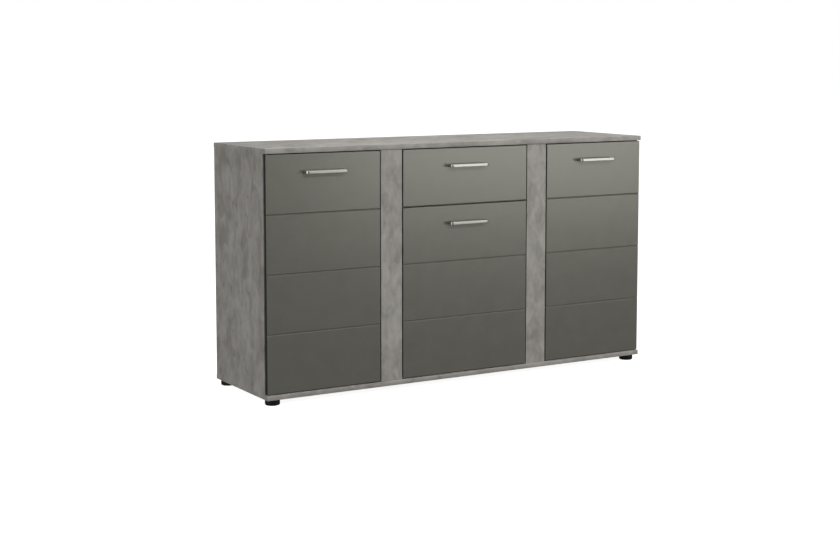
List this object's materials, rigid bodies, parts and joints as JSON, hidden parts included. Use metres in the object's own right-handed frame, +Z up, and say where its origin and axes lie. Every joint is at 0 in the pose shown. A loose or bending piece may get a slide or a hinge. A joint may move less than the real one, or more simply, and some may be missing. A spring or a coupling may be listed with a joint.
{
  "type": "sideboard",
  "caption": "Low three-column sideboard with grooved hinged doors, a centre drawer, bar handles, pilasters between the columns and round glide feet.",
  "frame": {"origin": "on the floor under the middle of the whole object's box, handles included", "axes": "+X to the right along the width as seen from the front, +Y to the back so the fronts face -Y, +Z up"},
  "size_m": [1.5, 0.4306, 0.825],
  "materials": {
    "concrete_decor_board": "melamine-faced chipboard with a matt light grey concrete decor",
    "inside_board": "melamine-faced chipboard, matt light grey",
    "back_panel": "thin fibreboard, matt light grey on its inner face",
    "drawer_box": "foil-wrapped board, matt light grey",
    "graphite_front": "fibreboard in satin graphite foil, with milled grooves",
    "satin_handle": "satin",
    "hinge_steel": "nickel-plated",
    "runner_steel": "zinc-plated",
    "black_plastic": "moulded, matt black"
  },
  "bodies": {
    "carcass": {"back_panel_centre": "back_panel", "back_panel_left": "back_panel", "back_panel_right": "back_panel", "bottom_board": "concrete_decor_board", "divider_left": "inside_board", "divider_right": "inside_board", "fixed_shelf": "inside_board", "foot_front_left": "black_plastic", "foot_front_right": "black_plastic", "foot_middle": "black_plastic", "foot_rear_left": "black_plastic", "foot_rear_right": "black_plastic", "hinge_arm_centre_lower": "hinge_steel", "hinge_arm_centre_upper": "hinge_steel", "hinge_arm_left_lower": "hinge_steel", "hinge_arm_left_upper": "hinge_steel", "hinge_arm_right_lower": "hinge_steel", "hinge_arm_right_upper": "hinge_steel", "loose_shelf_centre_1": "inside_board", "loose_shelf_left_1": "inside_board", "loose_shelf_left_2": "inside_board", "loose_shelf_right_1": "inside_board", "loose_shelf_right_2": "inside_board", "pilaster_left": "concrete_decor_board", "pilaster_right": "concrete_decor_board", "runner_outer_left": "runner_steel", "runner_outer_right": "runner_steel", "side_panel_left": "concrete_decor_board", "side_panel_right": "concrete_decor_board", "top_board": "concrete_decor_board"},
    "left_door": {"door_left": "graphite_front", "handle_left_door": "satin_handle", "hinge_cup_left_lower": "hinge_steel", "hinge_cup_left_upper": "hinge_steel"},
    "left_door_links": {"hinge_link_left_lower": "hinge_steel", "hinge_link_left_upper": "hinge_steel"},
    "centre_door": {"door_centre": "graphite_front", "handle_centre_door": "satin_handle", "hinge_cup_centre_lower": "hinge_steel", "hinge_cup_centre_upper": "hinge_steel"},
    "centre_door_links": {"hinge_link_centre_lower": "hinge_steel", "hinge_link_centre_upper": "hinge_steel"},
    "right_door": {"door_right": "graphite_front", "handle_right_door": "satin_handle", "hinge_cup_right_lower": "hinge_steel", "hinge_cup_right_upper": "hinge_steel"},
    "right_door_links": {"hinge_link_right_lower": "hinge_steel", "hinge_link_right_upper": "hinge_steel"},
    "drawer": {"drawer_back": "drawer_box", "drawer_floor": "back_panel", "drawer_front": "graphite_front", "drawer_side_left": "drawer_box", "drawer_side_right": "drawer_box", "handle_drawer": "satin_handle", "runner_inner_left": "runner_steel", "runner_inner_right": "runner_steel"},
    "runner_middle_left": {"runner_middle_left": "runner_steel"},
    "runner_middle_right": {"runner_middle_right": "runner_steel"}
  },
  "joints": [
    {"name": "left_door_links_turn", "type": "hinge", "parent": "carcass", "child": "left_door_links", "pos_m": [-0.719, -0.16125, 0.4225], "axis": [0, 0, -1], "range_deg": [-40, 0]},
    {"name": "left_door_opening", "type": "hinge", "parent": "left_door_links", "child": "left_door", "pos_m": [-0.7375, -0.17425, 0.4225], "axis": [0, 0, -1], "range_deg": [0, 140]},
    {"name": "centre_door_links_turn", "type": "hinge", "parent": "carcass", "child": "centre_door_links", "pos_m": [-0.22, -0.16125, 0.32563], "axis": [0, 0, -1], "range_deg": [-40, 0]},
    {"name": "centre_door_opening", "type": "hinge", "parent": "centre_door_links", "child": "centre_door", "pos_m": [-0.2385, -0.17425, 0.32563], "axis": [0, 0, -1], "range_deg": [0, 140]},
    {"name": "right_door_links_turn", "type": "hinge", "parent": "carcass", "child": "right_door_links", "pos_m": [0.719, -0.16125, 0.4225], "axis": [0, 0, 1], "range_deg": [-40, 0]},
    {"name": "right_door_opening", "type": "hinge", "parent": "right_door_links", "child": "right_door", "pos_m": [0.7375, -0.17425, 0.4225], "axis": [0, 0, 1], "range_deg": [0, 140]},
    {"name": "drawer_slide", "type": "slide", "parent": "carcass", "child": "drawer", "axis": [0, -1, 0], "range_m": [0, 0.34]},
    {"name": "runner_middle_left_slide", "type": "slide", "parent": "carcass", "child": "runner_middle_left", "axis": [0, -1, 0], "range_m": [0, 0.17]},
    {"name": "runner_middle_right_slide", "type": "slide", "parent": "carcass", "child": "runner_middle_right", "axis": [0, -1, 0], "range_m": [0, 0.17]}
  ],
  "couplings": [
    {"joint": "left_door_links_turn", "follows": "left_door_opening", "ratio": -0.28571},
    {"joint": "centre_door_links_turn", "follows": "centre_door_opening", "ratio": -0.28571},
    {"joint": "right_door_links_turn", "follows": "right_door_opening", "ratio": -0.28571},
    {"joint": "runner_middle_left_slide", "follows": "drawer_slide", "ratio": 0.5},
    {"joint": "runner_middle_right_slide", "follows": "drawer_slide", "ratio": 0.5}
  ]
}
